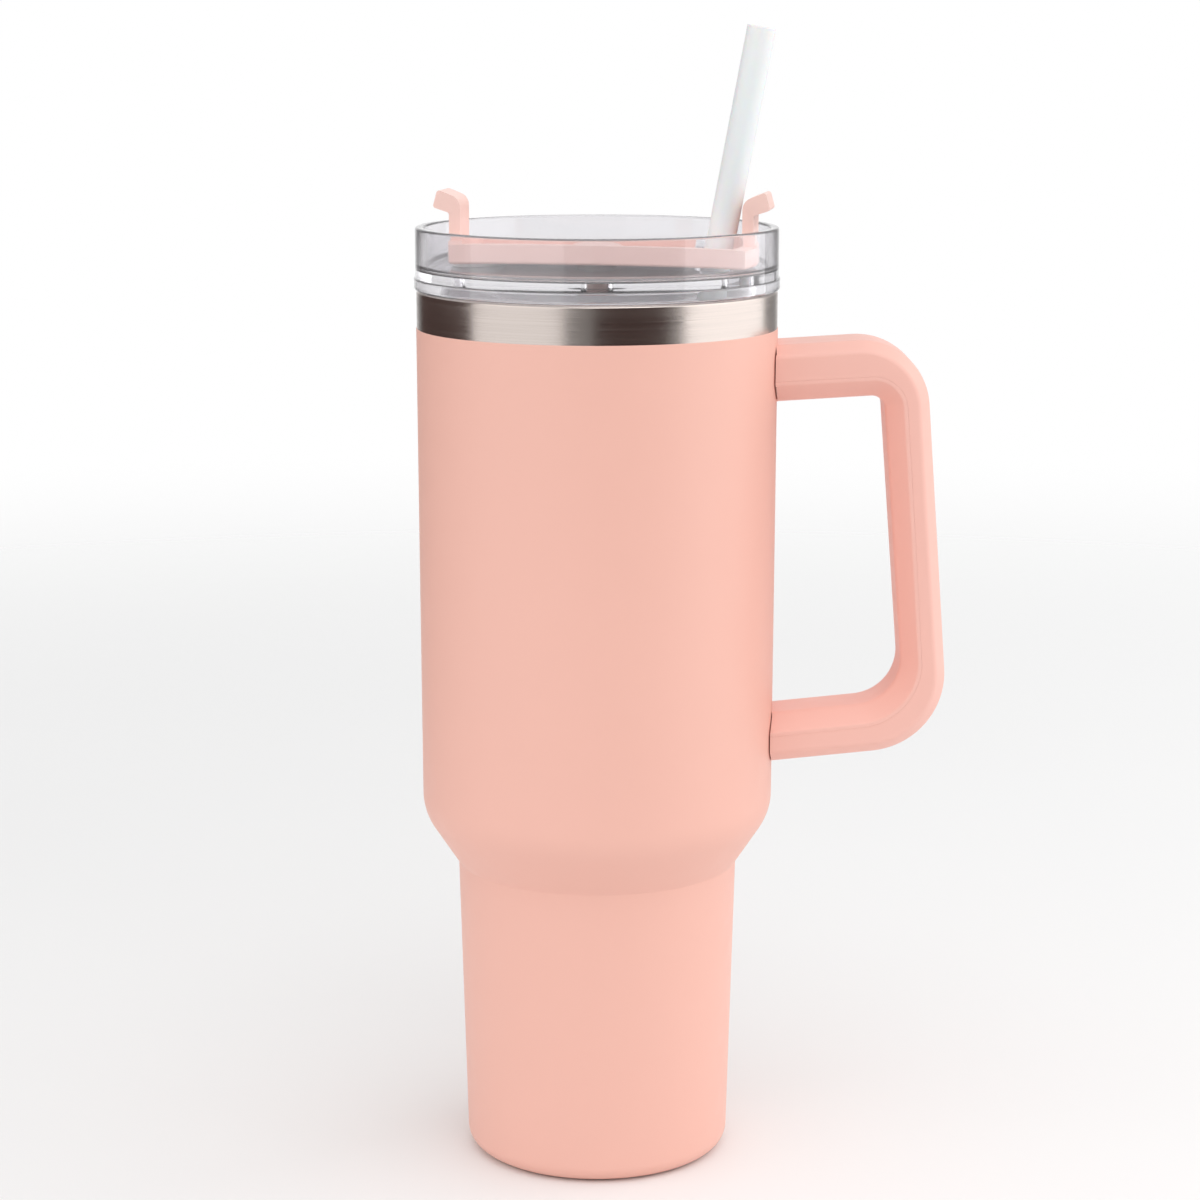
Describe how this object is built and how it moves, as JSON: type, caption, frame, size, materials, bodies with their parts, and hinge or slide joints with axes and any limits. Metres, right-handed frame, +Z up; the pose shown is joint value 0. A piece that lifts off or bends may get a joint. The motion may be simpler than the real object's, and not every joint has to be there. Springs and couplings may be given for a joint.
{
  "type": "insulated straw tumbler",
  "caption": "Stepped double-walled steel tumbler with a side handle, a clear press-in lid, a turning cover with two finger hooks and a leaning straw.",
  "frame": {"origin": "centre of the base, in the plane that the tumbler stands on", "axes": "+Z up along the cup's axis, +X towards the handle, so the front view looks along +Y"},
  "size_m": [0.1464, 0.1, 0.3158],
  "materials": {
    "coat": "satin powder coat",
    "steel": "brushed round the axis",
    "solder": "as melted",
    "getter": "sintered",
    "fastener": "plain",
    "handle": "satin moulded",
    "clear": "clear, polished",
    "silicone": "soft, slightly clear",
    "cover": "satin moulded",
    "straw": "milky"
  },
  "bodies": {
    "cup": {"outer_shell": "coat", "inner_liner": "steel", "bottom_plate": "steel", "vacuum_seal": "solder", "base_disc": "steel", "getter": "getter", "handle_shell": "handle", "handle_inner_cover": "handle", "upper_handle_bracket": "steel", "lower_handle_bracket": "steel", "upper_handle_screw": "fastener", "lower_handle_screw": "fastener"},
    "lid": {"lid_body": "clear", "lid_gasket": "silicone", "cover_pivot": "cover", "pivot_retainer": "clear", "pivot_ring": "silicone"},
    "cover": {"lid_cover": "cover", "cover_pad": "silicone"},
    "straw": {"straw": "straw"}
  },
  "joints": [
    {"name": "lid_lift", "type": "slide", "parent": "cup", "child": "lid", "axis": [0, 0, 1], "range_m": [0, 0.26]},
    {"name": "cover_turn", "type": "hinge", "parent": "lid", "child": "cover", "pos_m": [0, 0, 0.2512], "axis": [0, 0, 1], "range_deg": [-135, 0]},
    {"name": "straw_slide", "type": "slide", "parent": "lid", "child": "straw", "axis": [0.1797, -0.0301, 0.9833], "range_m": [0, 0.27]}
  ]
}
